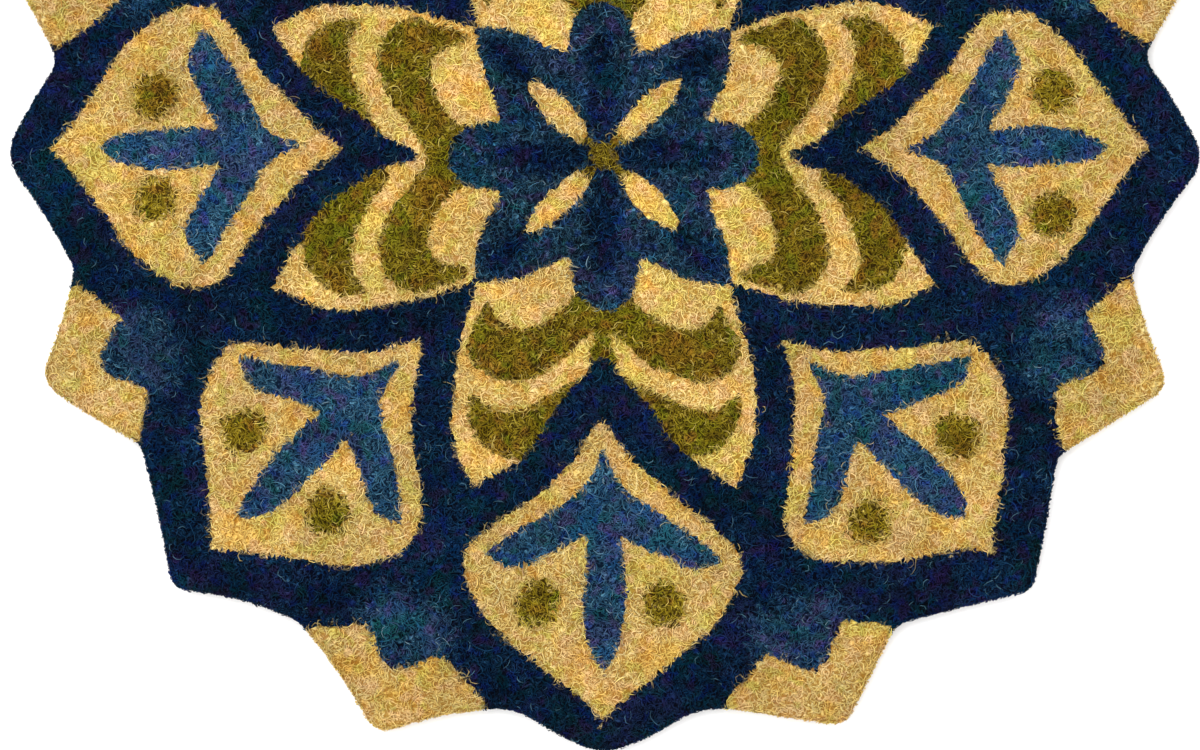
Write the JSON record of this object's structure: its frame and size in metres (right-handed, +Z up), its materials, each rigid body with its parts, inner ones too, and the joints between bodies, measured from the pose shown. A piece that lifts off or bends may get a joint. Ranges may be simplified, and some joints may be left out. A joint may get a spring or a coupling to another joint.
{
  "type": "shaped coir doormat",
  "caption": "Flat doormat of dense cut coir pile, die-cut to a round scalloped star outline and dyed with a flower medallion.",
  "frame": {"origin": "centre of the flat underside, on the surface the mat lies on", "axes": "+Z up through the pile, +Y towards the mat's far side, +X towards its right-hand lobe"},
  "size_m": [0.699, 0.6992, 0.0154],
  "materials": {
    "coir_pile": "dense cut coir pile, matt and fibrous, dyed navy and blue with natural tan and olive motifs"
  },
  "bodies": {
    "root": {"coir_pile_mat": "coir_pile"}
  },
  "joints": []
}
